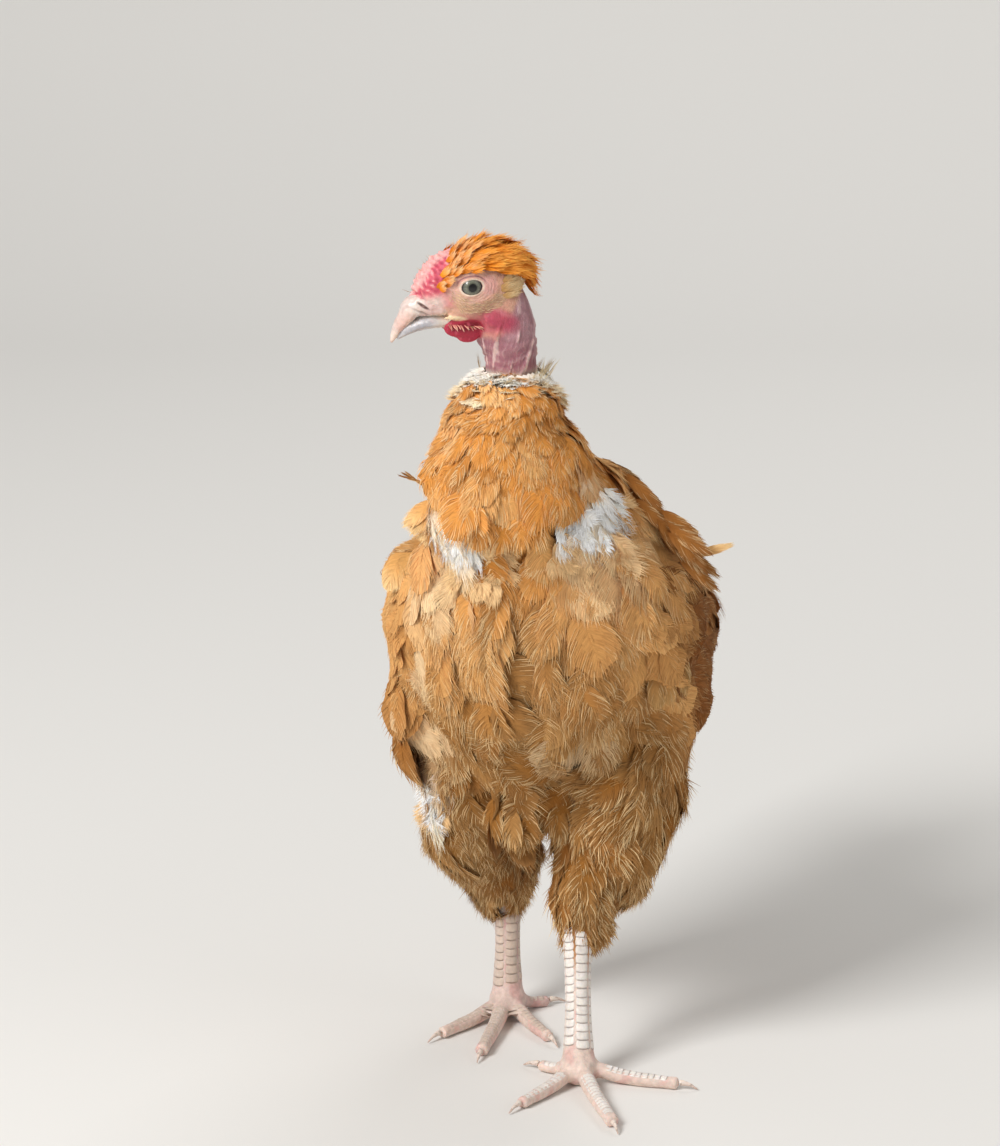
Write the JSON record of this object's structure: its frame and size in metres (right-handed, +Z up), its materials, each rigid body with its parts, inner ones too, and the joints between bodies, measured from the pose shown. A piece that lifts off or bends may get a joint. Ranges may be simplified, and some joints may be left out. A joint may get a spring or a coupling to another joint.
{
  "type": "standing hen",
  "caption": "Life-size still model of a bare-necked hen, standing upright on spread toes with its head turned to one side; a display figure.",
  "frame": {"origin": "on the floor, under the middle of the hen's bounding box", "axes": "+Z up; the legs step along -Y, which the breast faces within a small turn; +X is the hen's left; the head faces -X"},
  "size_m": [0.1634, 0.3228, 0.4307],
  "materials": {
    "buff_plumage": "soft matte feathers",
    "crest_plumage": "soft matte feathers",
    "chestnut_plumage": "satin vaned feathers",
    "neck_skin": "bare creased skin",
    "face_skin": "bare wrinkled skin",
    "comb_skin": "fine-grained waxy skin",
    "beak_horn": "smooth horn",
    "leg_scale": "overlapping scales",
    "claw_horn": "smooth horn",
    "eye": "wet and glossy"
  },
  "bodies": {
    "root": {"trunk": "buff_plumage", "ruff": "buff_plumage", "thigh_left": "buff_plumage", "thigh_right": "buff_plumage", "crest": "crest_plumage", "tail": "chestnut_plumage", "wing_left": "chestnut_plumage", "flight_left": "chestnut_plumage", "wing_right": "chestnut_plumage", "flight_right": "chestnut_plumage", "neck": "neck_skin", "head": "face_skin", "comb": "comb_skin", "wattle_left": "comb_skin", "lobe_left": "comb_skin", "wattle_right": "comb_skin", "lobe_right": "comb_skin", "beak_upper": "beak_horn", "beak_lower": "beak_horn", "eye_left": "eye", "shank_left": "leg_scale", "foot_left": "leg_scale", "toe_left_inner": "leg_scale", "claw_left_inner": "claw_horn", "toe_left_middle": "leg_scale", "claw_left_middle": "claw_horn", "toe_left_outer": "leg_scale", "claw_left_outer": "claw_horn", "toe_left_hind": "leg_scale", "claw_left_hind": "claw_horn", "eye_right": "eye", "shank_right": "leg_scale", "foot_right": "leg_scale", "toe_right_inner": "leg_scale", "claw_right_inner": "claw_horn", "toe_right_middle": "leg_scale", "claw_right_middle": "claw_horn", "toe_right_outer": "leg_scale", "claw_right_outer": "claw_horn", "toe_right_hind": "leg_scale", "claw_right_hind": "claw_horn"}
  },
  "joints": []
}
